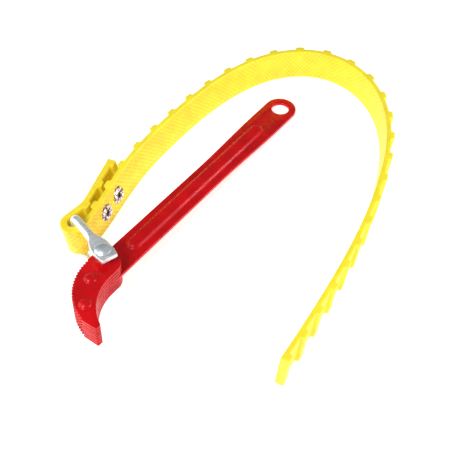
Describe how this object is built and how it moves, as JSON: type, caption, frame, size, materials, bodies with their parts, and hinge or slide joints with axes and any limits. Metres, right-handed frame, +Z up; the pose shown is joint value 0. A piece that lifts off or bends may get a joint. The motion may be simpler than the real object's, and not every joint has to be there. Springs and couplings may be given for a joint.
{
  "type": "oil filter belt wrench",
  "caption": "Belt wrench for oil filters: a flat ribbed handle with a toothed crescent jaw, a swinging bent-rod shackle and a long lugged belt looped round the shackle's crossbar.",
  "frame": {"origin": "centre of the footprint of the whole tool, at the height of the surface it lies on", "axes": "+X along the handle from the jaw to the hanging hole, +Y to the side the shackle points to, +Z up"},
  "size_m": [0.33, 0.2112, 0.0452],
  "materials": {
    "red_paint": "gloss",
    "dark_steel": "satin",
    "zinc": "bright zinc plate",
    "rivet_metal": "bright, set rough",
    "belt_yellow": "semi-matt moulded"
  },
  "bodies": {
    "handle_and_jaw": {"handle": "red_paint", "jaw_plate_upper_1": "red_paint", "jaw_plate_upper_2": "red_paint", "jaw_plate_upper_3": "red_paint", "jaw_plate_lower_1": "red_paint", "jaw_plate_lower_2": "red_paint", "jaw_plate_lower_3": "red_paint", "jaw_rivet_front": "red_paint", "jaw_rivet_rear": "red_paint", "pivot_pin": "dark_steel"},
    "shackle": {"shackle": "zinc"},
    "belt": {"belt": "belt_yellow", "belt_rivet_near_loop": "rivet_metal", "belt_rivet_far_from_loop": "rivet_metal"}
  },
  "joints": [
    {"name": "shackle_swing", "type": "hinge", "parent": "handle_and_jaw", "child": "shackle", "pos_m": [-0.11497, 0.04568, 0.0226], "axis": [0.0918, 0, 0.9958], "range_deg": [-3, 12]},
    {"name": "belt_swing", "type": "hinge", "parent": "shackle", "child": "belt", "pos_m": [-0.10352, 0.08399, 0.02155], "axis": [0.0918, 0, 0.9958], "range_deg": [-2, 12]}
  ]
}
